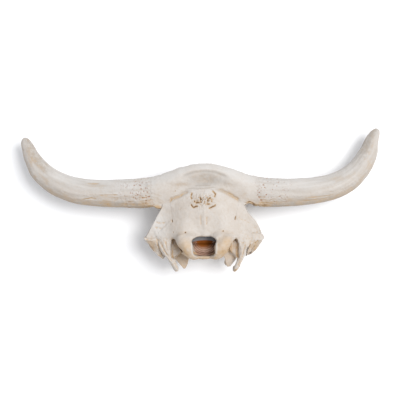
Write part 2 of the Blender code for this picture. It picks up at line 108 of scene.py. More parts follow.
SLITS = (
    # the broken edge under the right horn
    ([(84.5, -10), (88.5, -7.4), (95.6, -9.6), (101, -13.6), (106, -12.2), (111, -16), (104, -26), (94, -26),
      (88.5, -18)], 10, 110),
    # the gap between the right spur and its flake, open to the floor
    ([(86.2, -86), (88.6, -86), (88.2, -92), (86.4, -100), (83.8, -107), (90, -131), (71, -131),
      (73.5, -120), (76.5, -112), (82.2, -101.5), (85.2, -91)], 20, 100),
)


def pour(made, clay):
    """Adds a bmesh to another, and frees it."""
    mesh = bpy.data.meshes.new("poured")
    made.to_mesh(mesh)
    made.free()
    clay.from_mesh(mesh)
    bpy.data.meshes.remove(mesh)


def settle(obj):
    """Applies an object's modifiers."""
    bpy.context.view_layer.update()
    graph = bpy.context.evaluated_depsgraph_get()
    mesh = bpy.data.meshes.new_from_object(obj.evaluated_get(graph))
    obj.modifiers.clear()
    obj.data = mesh


def linked(name, made):
    """An object in the scene made from a bmesh, which is freed."""
    mesh = bpy.data.meshes.new(name)
    made.to_mesh(mesh)
    made.free()
    obj = bpy.data.objects.new(name, mesh)
    bpy.context.scene.collection.objects.link(obj)
    return obj


def carve(obj, tool):
    """Cuts a closed shape out of an object, and removes the shape."""
    boolean = obj.modifiers.new("cut", "BOOLEAN")
    boolean.operation = "DIFFERENCE"
    boolean.solver = "MANIFOLD"
    boolean.object = tool
    settle(obj)
    bpy.data.objects.remove(tool)


def drawn(outline, low, high):
    """A closed block with an outline in millimetres across and up, drawn out from a low to a high depth."""
    made = bmesh.new()
    base = made.faces.new([made.verts.new((x * MM, y * MM, low * MM)) for x, y in outline])
    grown = bmesh.ops.extrude_face_region(made, geom=[base])["geom"]
    top = [item for item in grown if isinstance(item, bmesh.types.BMVert)]
    bmesh.ops.translate(made, verts=top, vec=(0, 0, (high - low) * MM))
    bmesh.ops.recalc_face_normals(made, faces=made.faces[:])
    return made


def lump(at, radii, turn, tilt):
    """Adds an egg of clay, in millimetres, tilted about its length and then turned about the depth."""
    egg = bmesh.new()
    laid = Matrix.Translation(Vector(at) * MM) @ Matrix.Rotation(math.radians(turn), 4, "Z")
    laid @= Matrix.Rotation(math.radians(tilt), 4, "Y") @ Matrix.Diagonal((*(Vector(radii) * MM), 1))
    bmesh.ops.create_icosphere(egg, subdivisions=4, radius=1, matrix=laid)
    pour(egg, clay)


clay = bmesh.new()
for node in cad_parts.values():
    bone = bmesh.new()
    bone.from_mesh(node.data)
    bmesh.ops.remove_doubles(bone, verts=bone.verts[:], dist=SAME_PLACE)
    bone.normal_update()
    for vertex in bone.verts:
        sawn = vertex.co.z < ON_SAW
        vertex.co += vertex.normal * GAP_CLOSED
        if sawn:
            vertex.co.z = -BELOW_SAW
    pour(bone, clay)

for at, radii, turn, tilt in ADDED_CLAY:
    lump(at, radii, turn, tilt)
for outline, low, high in PLATES:
    pour(drawn(outline, low, high), clay)
skull = linked("skull", clay)
# fused once to cut the slits, and again so that their cut faces join the fine skin
for slits in (SLITS, ()):
    fuse = skull.modifiers.new("fuse", "REMESH")
    fuse.mode = "VOXEL"
    fuse.voxel_size = SKIN_GRAIN
    settle(skull)
    for outline, low, high in slits:
        carve(skull, linked("slit", drawn(outline, low, high)))
for _ in range(EVENING_ROUNDS):
    for factor in (EVENED, SWELLED):  # swelled back each time, so that thin spurs keep their size
        even = skull.modifiers.new("even", "SMOOTH")
        even.factor = factor
settle(skull)

# --------------------------------------------------
# The skin's arrays, and the carver's strokes. Bone is carved like wax here: a stroke presses the skin in
# or out along its normals, smoothly, over a width in millimetres.
SIDES = ((-1, "left"), (1, "right"))
MIDLINE = 8.5
WALL_CELL, WALL_CELLS = 4.0, 400  # a plan in which each cell keeps its highest skin

edges = np.empty(len(skull.data.edges) * 2, np.int64)
skull.data.edges.foreach_get("vertices", edges)
edges = edges.reshape(-1, 2)
count = len(skull.data.vertices)
valence = np.bincount(edges.ravel(), minlength=count)
both_ways = np.concatenate([edges, edges[:, ::-1]])
neighbours = both_ways[np.argsort(both_ways[:, 0], kind="stable"), 1]
first = np.cumsum(valence) - valence
points = np.empty(count * 3)
skull.data.vertices.foreach_get("co", points)
points = points.reshape(-1, 3) / MM
normals = np.empty((count, 3))
stain_and_shade = np.zeros(count)  # tan to brown, where soil and fat have coloured the bone, and painted shade in hollows and on the sides facing down the head
# greyish tone of the horn cores and worn bone, and painted shade in the dish, in the grooves of the nuchal
# line and on the horns
grey_and_shade = np.zeros(count)
pore = np.zeros(count)  # reddish brown, in the mouths of blood vessels
bleach_and_light = np.zeros(count)  # near white: painted light on the sides facing up the head, on the left mastoid and along the foramen's edges, and the pale lips of the pores


def ringed(values):
    """The mean of each point's neighbours."""
    return np.add.reduceat(values[neighbours], first, axis=0) / valence[:, None]


def face_out():
    """Works out the skin's normals anew."""
    skull.data.vertices.foreach_set("co", (points * MM).ravel())
    skull.data.update()
    flat = np.empty(count * 3)
    skull.data.vertex_normals.foreach_get("vector", flat)
    normals[:] = flat.reshape(-1, 3)


def press(depth):
    """Presses the skin in by a depth at each point, or draws it out where the depth is negative."""
    points[:] -= normals * depth[:, None]


def step(value, low, high):
    """0 below low and 1 above high, smoothly."""
    t = np.clip((value - low) / (high - low), 0, 1)
    return t * t * (3 - 2 * t)


def lumps(size, octaves=1, seed=0.0, area=None, at=None):
    """Smooth noise, from about -1 to 1, with lumps of a size in mm. It is 0 outside an area."""
    chosen = np.ones(count, bool) if area is None else area > 0.001
    spots = (points if at is None else at)[chosen] / size + seed
    found = np.zeros(count)
    found[chosen] = [noise.fractal(spot, 1.0, 2.0, octaves) for spot in spots.tolist()]
    return found


def off_path(path):
    """How far each point lies from a path drawn on the back of the head, and its share of the way along."""
    nearest, share = np.full(count, 1e9), np.zeros(count)
    ends = np.array(path, float)
    for number, (a, b) in enumerate(zip(ends[:-1], ends[1:])):
        run = b - a
        t = np.clip(((points[:, :2] - a) @ run) / (run @ run), 0, 1)
        apart = np.hypot(*(points[:, :2] - a - t[:, None] * run).T)
        closer = apart < nearest
        nearest[closer] = apart[closer]
        share[closer] = (number + t[closer]) / (len(ends) - 1)
    return nearest, share


def trail(path, width, ends=0.25):
    """1 along a path on the back of the head. It fades over a width at its sides, and at both ends."""
    apart, share = off_path(path)
    fade = step(share, 0, ends) * step(1 - share, 0, ends)
    return np.exp(-((apart / width) ** 2)) * fade * behind


def stroke(path, width, depth, ends=0.25):
    """Presses a groove along a path into the back of the head, and returns its trail."""
    line = trail(path, width, ends)
    press(depth * line)
    return line


def within(outline, soft):
    """1 inside an outline drawn on the back of the head. It falls to 0 at the edge, over a soft width."""
    odd = np.zeros(count, bool)
    for (ax, ay), (bx, by) in zip(outline, outline[1:] + outline[:1]):
        spans = (points[:, 1] < ay) != (points[:, 1] < by)
        odd ^= spans & (points[:, 0] < ax + (points[:, 1] - ay) * (bx - ax) / ((by - ay) or 1))
    return step(off_path(outline + outline[:1])[0], 0, soft) * odd


def spot(at, reach, turn=0.0):
    """1 at a place on the back of the head, and 0 beyond its reach across and up."""
    angle = math.radians(turn)
    dx, dy = points[:, 0] - at[0], points[:, 1] - at[1]
    across, up = dx * math.cos(angle) + dy * math.sin(angle), dy * math.cos(angle) - dx * math.sin(angle)
    return step(1 - np.hypot(across / reach[0], up / reach[1]), 0, 1)


face_out()
behind = step(normals[:, 2], 0.1, 0.6) * step(points[:, 2], 45, 60)
cell = tuple((points[:, :2] / WALL_CELL + WALL_CELLS / 2).astype(int).T)
highest = np.zeros((WALL_CELLS, WALL_CELLS))
np.maximum.at(highest, cell, points[:, 2])
behind *= step(points[:, 2] - highest[cell], -14, -10)  # not the walls inside the braincase

# --------------------------------------------------
# The frontal bone and the poll. The thick arch of bone between the horns, with a shallow dish painted
# greyish as shade, and below it the nuchal line, a double lip that the neck's muscles hung from.
DISH_EDGE = [(-34, 37), (-26, 43.3), (-10, 48.7), (8, 50), (26, 48.7), (45, 41.5), (54, 36)]
DISH_AT, DISH_REACH, DISH_DEPTH = (9, 33), (60, 22), 2.0
ARCH_WAVES = 0.45
LIPS = (
    # path, width, depth, and the greyish tint painted into its groove as shade
    ([(-30, 14.8), (-20, 18.4), (-11.6, 19.5), (6.3, 18.8), (24.3, 21.3), (36, 18.0)], 1.2, 1.1, 0.6),
    ([(-12, 23.4), (-4, 24.4), (14.4, 24.7), (22, 24.0)], 1.1, 0.6, 0.4),
    ([(-6, 15.0), (2, 14.6), (12, 15.4)], 1.1, -0.4, 0.0),
)

# the dish's edge and floor are painted greyish, with a little tan: painted shade in the hollow
stroke(DISH_EDGE, 2.8, 1.3)
edge = trail(DISH_EDGE, 2.4)
grey_and_shade += 0.7 * edge
stain_and_shade += 0.05 * edge
shaded_bowl = spot(DISH_AT, DISH_REACH) * behind
press(shaded_bowl * DISH_DEPTH)
grey_and_shade += shaded_bowl * 0.95 * (0.9 + 0.3 * lumps(9, 2, 21.0, shaded_bowl))
stain_and_shade += shaded_bowl * 0.12
# each lip's groove is painted greyish, with a little tan: painted shade
for path, width, depth, shade in LIPS:
    lip = stroke(path, width, depth)
    grey_and_shade += shade * lip
    stain_and_shade += 0.2 * shade * lip
arch = step(points[:, 1], 0, 14) * step(115 - abs(points[:, 0]), 0, 20)
press(ARCH_WAVES * lumps(11, 3, 3.1, arch) * arch)

# --------------------------------------------------
# The occipital bone. The shield at the back of the head: grooves under the nuchal line, a rugged knob
# that held the neck's ligament, a low crest down to the foramen, and small holes for veins.
LEFT_GROOVE = [(-15.6, 12.8), (-26.5, 11.8), (-36.6, 5.3), (-51.4, -1.0), (-58.4, -10.7)]
RIGHT_GROOVE = [(22.3, 16.8), (36.3, 15.7), (46.3, 11.8), (57.3, 6.2), (68.2, -0.6), (73.2, -9.6)]
KNOB_CRACKS = (
    [(-16.1, -8.2), (-14.5, -11.6), (-11.6, -15.2), (-6.8, -13.0), (-2.6, -13.4)],
    [(-11.6, -3.1), (-5.5, -6.7), (0.4, -5.6), (4.3, -5.3)],
    [(15.3, -0.3), (13.3, -5.6), (14.4, -9.6), (20.3, -8.2)],
    [(14.0, -1.0), (18.0, 2.0), (21.5, -1.5), (21.0, -6)],
    [(15.3, -17.7), (21.4, -14.6), (27.3, -12.1), (28.2, -8.7)],
    [(22, 15.5), (28.2, 9.3), (26.2, 2.8)],
    [(-14.1, 12.3), (-16.1, 4.2), (-14.0, -0.6)],
    [(-1, 4), (2, 0), (0.5, -2.5)],
)
CREST = [(8.5, -14), (8.3, -40), (8.0, -60)]
CREST_GROOVES = ([(1.5, -26), (1.8, -50)], [(13.0, -30), (12.4, -48)])
VEIN_HOLES = (
    ((-50.3, -39.4), (1.8, 4.2), 12),
    ((64.7, -34.0), (1.9, 5.5), -8),
    ((-26.0, -59.7), (1.8, 1.7), 0),
    ((-48.1, -59.7), (1.3, 1.3), 0),
    ((41.7, -57.4), (1.9, 1.6), 0),
    ((-44.1, 14.0), (1.3, 1.3), 0),
)
HOLE_DEPTH = 3.0
KNOB_AT, KNOB_REACH = (6, -1), (29, 21)
LIP_ABOVE = 2.6  # each crack of the knob has a low lip this far above it
SHIELD_WAVES = 0.40
FINE_WAVES = 0.30
PLATE_REACH = 9.0
PLATE_PLANED = 0.92
# the condyles and the foramen, which the plane leaves alone
UNPLANED = (((-26, -86), (36, 38)), ((43, -86), (36, 38)), ((8.5, -84), (36, 30)))
CELL = 1.5
SPARE_CELLS = 20


def planed(share, reach):
    """How high each point would lie, were the skin planed smooth over a reach. Share is its weight."""
    spots = (points[:, :2] - points[:, :2].min(axis=0)) / CELL + SPARE_CELLS
    shape = tuple((spots.max(axis=0) + SPARE_CELLS).astype(int))
    waves = np.add.outer(np.fft.fftfreq(shape[0]) ** 2, np.fft.rfftfreq(shape[1]) ** 2)
    softened = []
    for values in (share, share * points[:, 2]):
        cells = np.zeros(shape)
        np.add.at(cells, tuple(np.round(spots).astype(int).T), values)
        blurred = np.fft.rfft2(cells) * np.exp(-2 * (np.pi * reach / CELL) ** 2 * waves)
        softened.append(np.fft.irfft2(blurred, shape))
    heights = softened[1] / np.maximum(softened[0], 0.001)
    corner = spots.astype(int)
    found = np.zeros(count)
    for right in (0, 1):
        for above in (0, 1):
            weight = abs(1 - right - (spots[:, 0] - corner[:, 0]))
            weight *= abs(1 - above - (spots[:, 1] - corner[:, 1]))
            found += weight * heights[corner[:, 0] + right, corner[:, 1] + above]
    return found


plate = behind * step(points[:, 1], -84, -64) * (1 - step(points[:, 1], 22, 34))
plate *= 1 - step(abs(points[:, 0] - MIDLINE), 98, 110)
for at, reach in UNPLANED:
    plate *= 1 - np.minimum(1, 3 * spot(at, reach))
points[:, 2] += (planed(plate, PLATE_REACH) - points[:, 2]) * plate * PLATE_PLANED
# each groove is painted greyish and tan: painted shade, with soil in the groove
for path in (LEFT_GROOVE, RIGHT_GROOVE):
    stroke(path, 2.8, 2.0)
    groove = trail(path, 2.8)
    grey_and_shade += 0.7 * groove
    stain_and_shade += 0.46 * groove * (0.7 + 0.5 * lumps(6, 2, 4.0, groove))
knob = spot(KNOB_AT, KNOB_REACH) * behind
rugged = lumps(5.0, 3, 7.7, knob)
crumbs = lumps(2.6, 2, 1.3, knob)
press(knob * (1.6 * (0.35 - abs(rugged)) + 3.4 * crumbs))
grey_and_shade += 0.9 * knob * step(crumbs, 0.0, 0.35)
stain_and_shade += 0.4 * knob * step(crumbs, 0.1, 0.45)
for path in KNOB_CRACKS:
    crack = stroke(path, 1.4, 1.8, ends=0.12)
    grey_and_shade += crack * 0.5
    stain_and_shade += crack * (0.85 + 0.7 * lumps(3.5, 1, 6.6, crack))
    stroke([(x, y + LIP_ABOVE) for x, y in path], 1.1, -0.8, ends=0.12)
stroke(CREST, 2.2, -0.8)
for path in CREST_GROOVES:
    stroke(path, 1.6, 0.8)
    stain_and_shade += 0.35 * trail(path, 1.4)
for at, reach, turn in VEIN_HOLES:
    hole = spot(at, reach, turn) * behind
    press(hole * HOLE_DEPTH)
    stain_and_shade += hole * 1.2
shield = step(points[:, 2], 60, 75) * step(-points[:, 1], -15, 0)
press(SHIELD_WAVES * lumps(8, 3, 12.3, shield) * shield)
press(FINE_WAVES * lumps(2.8, 2, 15.1, behind) * behind)

# --------------------------------------------------
# The temporal bones and the spurs. Thin plates and flakes of bone round the ear, furrowed lengthwise where
# they cracked and wore, with tan soil left in the furrows.
FURROWS = (
    # path, width, depth, stain, and the least depth of the skin that it cuts
    # the left side, and first of all the slit beside its spur
    ([(-80.5, -72), (-78, -80), (-75.5, -87.6), (-71.3, -96.7), (-66.2, -106.4)], 1.3, 1.9, 1.0, 45),
    ([(-78.8, -71.6), (-70.8, -87), (-65.5, -96.1), (-56.5, -107.9), (-47.4, -118.2), (-41.1, -131)],
     1.3, -1.0, 0, 70),
    ([(-75, -73), (-67, -88), (-61.5, -98), (-53, -109), (-45, -119)], 1.2, 1.0, 0.35, 70),
    ([(-47.5, -112), (-43, -121), (-38.5, -130)], 0.9, 1.1, 0.6, 70),
    ([(-63, -72), (-60.5, -86), (-57.5, -99)], 1.3, 0.8, 0.25, 70),
    ([(-92, -72), (-88, -80), (-80, -92)], 1.4, 0.6, 0.35, 45),
    ([(-87, -64), (-84, -75), (-79, -86)], 1.3, 0.6, 0.30, 45),
    ([(-84, -40), (-72, -44), (-57, -41)], 2.2, 0.7, 0.12, 45),
    ([(-84, -51), (-72, -53), (-60, -49)], 2.2, 0.6, 0.12, 45),
    # the right side
    ([(89.7, -71.6), (84.5, -87), (80.7, -98.8), (72.9, -112.9), (70.3, -122)], 1.3, -1.0, 0, 70),
    ([(72.9, -72.9), (74.9, -88.5), (76.7, -101.3), (70.3, -114.2), (65.1, -124.7)], 1.2, -0.8, 0, 70),
    ([(84.5, -75.4), (80.7, -88.5), (76.9, -103), (70.6, -115), (66.5, -125)], 1.2, 1.1, 0.45, 70),
    ([(91, -74), (91.5, -88), (88.0, -101)], 1.3, 0.8, 0.45, 45),
    ([(105, -54), (101, -70), (94, -88)], 1.4, 0.6, 0.30, 45),
    ([(110, -60), (107, -72), (98, -86)], 1.3, 0.5, 0.30, 45),
    ([(97, -58), (95, -72), (92, -84)], 1.3, 0.7, 0.30, 45),
    ([(68, -33), (84, -40), (98, -44)], 2.2, 0.7, 0.14, 45),
    ([(84, -6), (90, -5), (96, -7.5), (102, -12)], 1.3, 0.8, 1.1, 60),
)
HOLLOWS = (
    # outline, its floor's depth at a place across, how steeply that climbs to the right, and its tan
    ([(-46, -75), (-53, -85), (-54, -106), (-47.3, -110), (-35, -99), (-28, -95), (-38, -84)],
     79, -43, -0.15, 0.15),
    ([(64.8, -73), (71.5, -80), (72, -109), (66, -106), (50, -92.5), (56, -80)],
     78, 62, 0.15, 0.24),
)
EAR_TAN = (
    # place, reach, stain and turn: worn ledges and soil round the ears, under the horns and on the
    # tip of the right spur
    ((-76, -15), (13, 7), 0.9, -8),
    ((94, -11), (16, 4.5), 0.7, -12),
    ((119, -11), (10, 3.5), 0.5, 0),
    ((65, -129), (6, 6), 0.6, 0),
    ((-86, -88), (9, 18), 0.55, 30),
    ((100, -88), (9, 18), 0.45, -32),
    ((88, -98), (5, 10), 0.35, -10),
    ((-72, -104), (10, 6), 0.6, -34),
)
EDGES = (
    # how far the outline of each ear moves across, to the right, at places up the head
    (-1, (-104, -82, -78, -75, -71, -64), (0, 1, -2, -2, -1, 0)),
    (1, (-104, -100, -90, -82, -78, -71, -66, -63, -52), (0, -1, -2, -2, -1.5, -0.5, 0, 0, 0)),
)
FLAKES = (
    # how far across each flake begins, at places up the head
    (-1, (-108, -72, -55), (-66, -78, -82)),
    (1, (-106, -70, -55), (86, 91, 93)),
)
FLAKE_LIFT = 10
FLAKE_REACH = 5.0
FLAKE_PLANED = 0.9
WORN_ROUNDS = 12
HOLLOW_ROUNDS = 8
LEAN = 3.0  # the ears, spurs and bullae lie about a line this far to the right of the midline


def even_out(values, area, amount, rounds):
    """Draws values in an area towards the mean of their neighbours, by an amount in each round."""
    for _ in range(rounds):
        values += (ringed(values) - values) * area * amount


for side, places, shifts in EDGES:
    outer = step(side * (points[:, 0] - MIDLINE), 60, 86)
    outer *= 1 - step(points[:, 2], 73, 79) * step(-points[:, 1], 66, 74)
    points[:, 0] += np.interp(points[:, 1], places, shifts, left=0, right=0) * outer
for path, width, depth, tint, least in FURROWS:
    furrow = trail(path, width) * (points[:, 2] > least)
    press(furrow * depth)
    stain_and_shade += furrow * tint * (0.8 + 0.5 * lumps(5, 1, 9.1, furrow))
for at, reach, tint, turn in EAR_TAN:
    stain_and_shade += tint * spot(at, reach, turn)
for side, places, starts in FLAKES:
    beside = step(side * (points[:, 0] - np.interp(points[:, 1], places, starts)), 0, 2)
    beside *= step(-points[:, 1], 52, 58)
    raised = step(points[:, 2], 57, 63) * step(82 - points[:, 2], 0, 6)
    raised *= beside * step(points[:, 1], -102, -74) * step(-points[:, 1], 66, 72)
    points[:, 2] += FLAKE_LIFT * raised
    flake = behind * beside
    flat = planed(flake, FLAKE_REACH)
    points[:, 2] += (flat - points[:, 2]) * flake * step(-points[:, 1], 58, 68) * FLAKE_PLANED
    worn = beside * step(points[:, 2], 57, 63) * step(-points[:, 1], 60, 68)
    worn *= step(points[:, 1], -88, -80)
    even_out(points, worn[:, None], 0.8, WORN_ROUNDS)
for outline, depth, at, climb, tint in HOLLOWS:
    open_skin = np.maximum(step(normals[:, 2], -0.2, 0.0), step(points[:, 2], 71, 74))
    sunk = within(outline, 2.5) * step(points[:, 2], 50, 58) * open_skin
    points[:, 2] += (depth + climb * (points[:, 0] - at) - points[:, 2]) * sunk
    even_out(points, sunk[:, None], 0.8, HOLLOW_ROUNDS)
    stripes = lumps(1.0, 2, 8.0, sunk, points * (1 / 2.4, 1 / 16, 1 / 30))
    points[:, 2] += 0.8 * stripes * sunk
    grey_and_shade += sunk * 0.45 * stripes
    stain_and_shade += sunk * (tint + 0.4 * stripes)
face_out()
sheet = behind * step(abs(points[:, 0] - MIDLINE - LEAN), 48, 56) * step(-points[:, 1], 64, 74)
sheet *= step(points[:, 2], 74, 79)
press(0.6 * lumps(3.0, 2, 14.0, sheet) * sheet)
stain_and_shade += 0.25 * sheet * step(lumps(3.6, 3, 19.0, sheet), 0.1, 0.4)
flanks = step(0.5 - normals[:, 2], 0, 0.4) * (points[:, 2] > 1) * (points[:, 2] < 84)
flanks *= step(130 - abs(points[:, 0]), 0, 20)
press((0.8 * lumps(15, 3, 50.0, flanks) + 0.5 * lumps(4.5, 2, 51.0, flanks)) * flanks)
ear = step(abs(points[:, 0] - MIDLINE), 58, 74) * step(-points[:, 1], 20, 40) * behind
press(0.6 * lumps(4.0, 3, 3.3, ear) * ear)

# --------------------------------------------------
# The occipital condyles, and the foramen magnum between them. The joint's faces are smoother and tanner
# than the rest, with a painted highlight along each side of the foramen. Inside, the passage's floor shows
# brown stripes, and beyond it a pale bluish tint that stands in for the floor's shade seen through the
# braincase: painted shade.
CONDYLE_TAN = (
    # place, reach, stain and turn: the two joint faces, the lip between them, and the folds above
    ((44, -86), (27, 31), 0.95, -35),
    ((-26, -88), (26, 31), 0.80, 35),
    ((8.5, -107), (30, 11), 0.9, 0),
    ((-30, -61), (17, 7), 0.35, 8),
    ((46, -59), (17, 7), 0.35, -8),
)
HIGHLIGHTED_RIMS = ([(29.6, -74), (30.0, -88), (29.0, -101)], [(-14.0, -74), (-14.4, -88), (-13.0, -101)])
FORAMEN_WIDER = 2.2
THROAT_WIDER = 4.5
RIGHT_RIM_NARROWER = 3.0

for at, reach, tint, turn in CONDYLE_TAN:
    greased = np.minimum(1, 1.4 * spot(at, reach, turn)) * step(points[:, 2], 58, 74)
    stain_and_shade += tint * 0.7 * greased * (0.85 + 0.35 * lumps(8, 3, 8.8, greased))
for side, _ in SIDES:
    corner = spot((MIDLINE + side * 19.5, -76), (8, 10)) * step(points[:, 2], 70, 85)
    points[:, 0] += side * FORAMEN_WIDER * corner
    throat = spot((MIDLINE + side * 18, -87), (11, 26)) * step(points[:, 2], 40, 60)
    throat *= step(101 - points[:, 2], 0, 5)
    points[:, 0] += side * THROAT_WIDER * throat
points[:, 0] -= RIGHT_RIM_NARROWER * spot((31, -87), (10, 26)) * step(points[:, 2], 94, 108)
across, up = points[:, 0] - MIDLINE, points[:, 1]
brain = (across / 50) ** 2 + ((up + 45) / 58) ** 2 + ((points[:, 2] - 45) / 44) ** 2
inside = step(1.0 - brain, 0.0, 0.12) * step(-points[:, 1], -15, 0)
passage = (np.hypot(across / 19.5, (up + 86) / 19.5) < 1) * step(96 - points[:, 2], 0, 8)
passage *= step(points[:, 2], 5, 15)
face_out()
wall = (np.hypot(across / 24, (up + 84) / 19) < 1) * step(0.55 - normals[:, 2], 0, 0.25)
wall *= step(points[:, 2], 5, 15)
# a thin pale line along each side of the foramen, raised a little: painted highlight
for path in HIGHLIGHTED_RIMS:
    rim = stroke(path, 1.5, -0.7)
    stain_and_shade *= 1 - 0.8 * rim
    bleach_and_light += 0.6 * rim
rim_depth = np.where(up > -78, 103, 95)
inside = np.maximum(inside, np.maximum(passage, wall) * step(rim_depth - points[:, 2], 0, 5))

# --------------------------------------------------
# The tympanic bullae. Hollow wedges of thin bone before the spurs, which held the middle ears. They are
# tan, with a dark edge towards the middle, and creased down their length.
BULLA_EDGES = (
    # path, width and stain
    ([(-19.5, -104), (-22, -115), (-26, -127)], 2.0, 0.8),
    ([(43, -101), (45, -112), (50, -121)], 1.8, 0.3),
)
BULLA_MIDDLES = ((-32, -111), (57, -108))
TAPER = 0.35  # the share of the way that a bulla narrows to its middle, towards its low end
CREASE = 0.6

bullae = step(abs(across - LEAN) - 18, 0, 6) * step(-up, 90, 98) * step(70 - points[:, 2], 0, 3)
bullae *= points[:, 2] > 25
for at in BULLA_MIDDLES:
    drawn_in = np.minimum(1, 2.5 * spot(at, (23, 24))) * step(67 - points[:, 2], 0, 25)
    drawn_in *= step(points[:, 2], 30, 40)
    drawn_in *= step(-points[:, 1], 98, 106)
    points[:, :2] += (np.array(at) - points[:, :2]) * TAPER * drawn_in[:, None]
for path, width, tint in BULLA_EDGES:
    stain_and_shade += tint * trail(path, width) * bullae
facet = np.where(across < 0, points[:, 0] + 32 - 0.15 * (points[:, 1] + 110), points[:, 0] - 58)
points[:, 2] -= bullae * np.clip(facet, 0, 12) * CREASE
stain_and_shade += bullae * (np.where(across < 0, 0.60, 0.36) + 0.3 * lumps(7, 2, 2.2, bullae))

# --------------------------------------------------
# The horn cores. Bare bone under the lost horn sheaths, porous and rough near the root and grooved along
# its length by the vessels that fed the horn. Each is drawn straight in an array of its own for its grain.
HORN_ROOT = 97.0
LEFT_AXIS = (
    (-324.0, 112.8, 40), (-319.5, 95.3, 42), (-311.0, 74.3, 45), (-284.0, 42.6, 50), (-236.5, 18.3, 57),
    (-191.5, 11.3, 62), (-145.8, 10.3, 67), (-91.5, 12.0, 72), (-60.0, 14.0, 74),
)
RIGHT_AXIS = (
    (70.0, 16.0, 74), (106.5, 13.5, 72), (137.4, 12.0, 69), (183.6, 13.4, 64), (226.2, 18.5, 59),
    (258.2, 28.7, 55), (286.8, 48.2, 50), (310.6, 83.5, 45), (320.0, 113.3, 42), (327.7, 128.3, 40),
)
BROWN_PITS = (
    (-118.6, 24.9), (-107.8, 24.9), (-97.9, 19.9), (-106.2, 18.3), (-101.1, 14.1), (-94.5, 12.3),
    (-91.2, 4.1), (-112, 8), (-103, 2), (-97, -3), (107.1, 11.8), (106.4, 3.5), (114.7, 25.7),
    (120, 8), (110, -2),
)
STREAKS = (
    [(-207, 28.5), (-194, 28.2), (-180, 28.6)],
    [(-190, 6.6), (-165, 7.2), (-142, 7.6)],
    [(-216, -0.8), (-204, 0.6), (-190, 3.4)],
    [(-192, 2.6), (-189.5, 0.2), (-187.5, 2.4)],
    [(188, 1.9), (215, 3.6), (249, 8.4)],
    [(170, -4.5), (195, -3.5), (220, 0.5)],
)
TIP_DRAWN = (((323, 122, 41), 26, (3.0, 2.6, 0)), ((-325, 110, 41), 22, (-0.6, 1.8, 0)))
LEFT_SLIMMED = 2.8
GROOVE_DEPTH = 0.5
STREAK_WIDTH, STREAK_DEPTH = 0.8, 0.7
WAVE_DEPTH = 0.6
PORE_SPACING, PORE_DEPTH = 3.6, 0.8
PIT_REACH, PIT_DEPTH = (1.9, 1.7), 1.2


def straightened(stations, chosen):
    """Each chosen point's place along a bent axis, across it and above it, as if the horn were straight."""
    axis = np.array(stations, float)
    steps = np.linspace(0, len(axis) - 1, 4 * len(axis))
    axis = np.column_stack([np.interp(steps, range(len(axis)), axis[:, column]) for column in range(3)])
    for _ in range(3):
        axis[1:-1] = (axis[:-2] + axis[2:]) / 2
    runs = np.diff(axis, axis=0)
    lengths = np.linalg.norm(runs, axis=1)
    picked = points[chosen]
    nearest, laid = np.full(len(picked), 1e9), np.zeros((len(picked), 3))
    for a, run, length, before in zip(axis, runs, lengths, np.cumsum(lengths) - lengths):
        t = np.clip(((picked - a) @ run) / length**2, -0.001, 1.001)
        off = picked - a - t[:, None] * run
        apart = np.linalg.norm(off, axis=1)
        closer = apart < nearest
        nearest[closer] = apart[closer]
        across_run = np.cross(run / length, (0, 0, 1))
        across_run /= np.linalg.norm(across_run)
        above_run = np.cross(across_run, run / length)
        station = np.column_stack([before + t * length, off @ across_run, off @ above_run])
        laid[closer] = station[closer]
    return laid


for tip, reach, pull in TIP_DRAWN:
    drawn_out = step(1 - np.linalg.norm(points - tip, axis=1) / reach, 0, 1)
    points += drawn_out[:, None] * np.array(pull)
core = step(abs(points[:, 0] - MIDLINE), HORN_ROOT - 14, HORN_ROOT + 6) * step(points[:, 1], -25, -15)
core_grain = np.zeros((count, 3))
for stations, on_side in ((LEFT_AXIS, points[:, 0] < MIDLINE), (RIGHT_AXIS, points[:, 0] > MIDLINE)):
    chosen = on_side & (core > 0)
    core_grain[chosen] = straightened(stations, chosen)
from_root = abs(points[:, 0] - MIDLINE) - HORN_ROOT
porous = core * (1 - step(from_root, 25, 85))

# the vessels' grooves, the soil in them, and the grain
grooves = 1 - abs(lumps(1.0, 2, 21.0, core, core_grain * (1 / 55, 1 / 3.2, 1 / 3.2))) * 2.2
grooves = (np.clip(grooves, 0, 1) ** 4 * core) ** 2
patchy = step(lumps(60, 1, 5.0, core), -0.3, 0.4)
press(GROOVE_DEPTH * grooves * (0.4 + 0.6 * patchy))
for path in STREAKS:
    soiled = stroke(path, STREAK_WIDTH, STREAK_DEPTH)
    stain_and_shade += 0.30 * soiled
    grey_and_shade += 0.7 * soiled
press(WAVE_DEPTH * lumps(1.0, 2, 31.0, core, core_grain * (1 / 40, 1 / 16, 1 / 16)) * core)
press(WAVE_DEPTH * lumps(3.4, 2, 9.0, porous) * porous)
stain_and_shade += 0.30 * grooves * patchy
streak = lumps(1.0, 3, 44.0, core, core_grain * (1 / 70, 1 / 5.0, 1 / 5.0))
stain_and_shade += 0.12 * core * step(streak, 0.15, 0.6)
# the horn cores are greyer than the skull, and the right core, nearer the lamp, is painted greyer than the
# left: painted shade
grey_and_shade += core * (np.where(points[:, 0] < 0, 0.17, 0.27) + 0.35 * streak)

# the mouths of the vessels, crowded in patches near the root, with pale rims
from_mouth = np.ones(count)
for number in np.flatnonzero(porous > 0.05):
    from_mouth[number] = noise.voronoi((points[number] / PORE_SPACING).tolist())[0][0]
dense = step(lumps(9.0, 1, 2.0, porous), -0.15, 0.2) * porous
mouths = step(1 - from_mouth / 0.40, 0.0, 0.6) * dense
press(PORE_DEPTH * mouths)
pore += 0.6 * mouths
pale_rims = step(0.12 - abs(from_mouth - 0.46), 0, 0.1) * dense
for at in BROWN_PITS:
    pit = spot(at, PIT_REACH) * step(points[:, 2], 60, 75)
    press(PIT_DEPTH * pit)
    pore += 1.1 * pit

